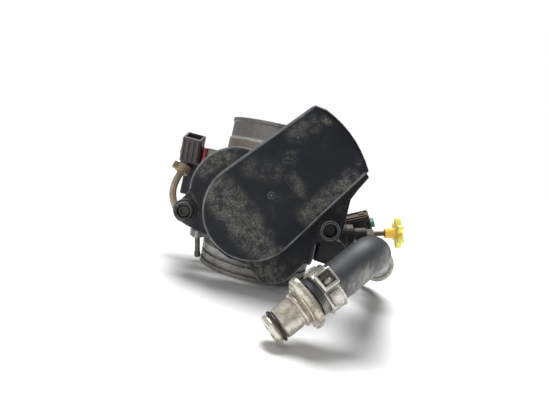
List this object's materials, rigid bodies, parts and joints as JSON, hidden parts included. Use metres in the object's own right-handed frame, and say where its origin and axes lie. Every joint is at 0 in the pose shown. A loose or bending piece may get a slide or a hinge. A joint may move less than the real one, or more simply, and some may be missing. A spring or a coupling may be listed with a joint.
{
  "type": "throttle body",
  "caption": "Single-bore throttle body with a covered cable pulley, fuel injector, sensors, cold-start knob and a clamped fuel hose ending in a flanged joint.",
  "frame": {"origin": "centre of the lower spigot's end face, on the bore axis", "axes": "+Z along the bore from the lower spigot to the upper one; -Y towards the pulley cover, along the throttle shaft; +X towards the injector and the cold-start knob"},
  "size_m": [0.1186, 0.1332, 0.0787],
  "materials": {
    "cast_aluminium": "dull cast surface with dusty collars",
    "shaft_steel": "ground",
    "plate_brass": "machined, fuel stained",
    "screw_steel": "zinc plated, dulled",
    "dark_steel": "blackened, dusty",
    "pulley_zinc": "zinc plated pressing",
    "bronze": "sintered bronze",
    "black_rubber": "smooth",
    "spring_steel": "drawn wire",
    "cover_plastic": "moulded, scuffed and dusty",
    "bracket_zinc": "zinc plated",
    "sensor_plastic": "moulded, dusty",
    "red_rubber": "smooth",
    "tan_rubber": "matt, weathered",
    "clip_steel": "spring steel, dusty",
    "nipple_brass": "tarnished",
    "injector_plastic": "moulded, dusty",
    "teal_rubber": "smooth",
    "pipe_plastic": "moulded",
    "starter_plastic": "moulded",
    "rod_steel": "dark olive plated",
    "knob_plastic": "moulded, slightly worn",
    "hose_rubber": "satin sleeve",
    "clamp_steel": "stainless band",
    "joint_zinc": "plated casting, stained"
  },
  "bodies": {
    "casting": {"throttle_body": "cast_aluminium", "shaft_bush_front": "bronze", "shaft_bush_rear": "bronze", "shaft_seal_front": "black_rubber", "shaft_seal_rear": "black_rubber", "return_spring": "spring_steel", "pulley_cover": "cover_plastic", "cover_screw_left": "dark_steel", "cover_screw_right": "dark_steel", "cable_bracket": "bracket_zinc", "bracket_screw_upper": "screw_steel", "bracket_screw_lower": "screw_steel", "pressure_sensor": "sensor_plastic", "sensor_gasket": "red_rubber", "pressure_screw": "screw_steel", "vacuum_hose": "tan_rubber", "hose_clip": "clip_steel", "hose_nipple": "nipple_brass", "drain_nipple": "clip_steel", "position_sensor": "sensor_plastic", "position_screw_left": "screw_steel", "position_screw_right": "screw_steel", "fuel_injector": "injector_plastic", "connector_seal": "teal_rubber", "injector_oring_lower": "black_rubber", "injector_oring_upper": "black_rubber", "fuel_pipe": "pipe_plastic", "pipe_screw": "screw_steel", "bypass_cover": "starter_plastic", "starter_housing": "starter_plastic", "starter_nut": "bracket_zinc", "starter_spring": "spring_steel", "fuel_hose": "hose_rubber", "hose_clamp_front": "clamp_steel", "hose_clamp_rear": "clamp_steel", "fuel_joint": "joint_zinc", "joint_oring": "black_rubber"},
    "throttle": {"throttle_shaft": "shaft_steel", "throttle_plate": "plate_brass", "plate_screw_front": "screw_steel", "plate_screw_rear": "screw_steel", "throttle_pulley": "pulley_zinc", "pulley_washer": "screw_steel", "pulley_nut": "screw_steel", "sensor_rotor": "sensor_plastic"},
    "starter_valve": {"starter_rod": "rod_steel"},
    "knob": {"starter_knob": "knob_plastic"}
  },
  "joints": [
    {"name": "throttle_turn", "type": "hinge", "parent": "casting", "child": "throttle", "pos_m": [0, 0, 0.034], "axis": [0, 1, 0], "range_deg": [0, 80], "stiffness_Nm_per_rad": 0.02, "springref_deg": -28.65},
    {"name": "starter_slide", "type": "slide", "parent": "casting", "child": "starter_valve", "axis": [0.9659, 0, 0.2588], "range_m": [0, 0.007]},
    {"name": "knob_turn", "type": "hinge", "parent": "starter_valve", "child": "knob", "pos_m": [0.02543, -0.002, 0.02263], "axis": [0.9659, 0, 0.2588], "range_deg": [-360, 720]}
  ]
}
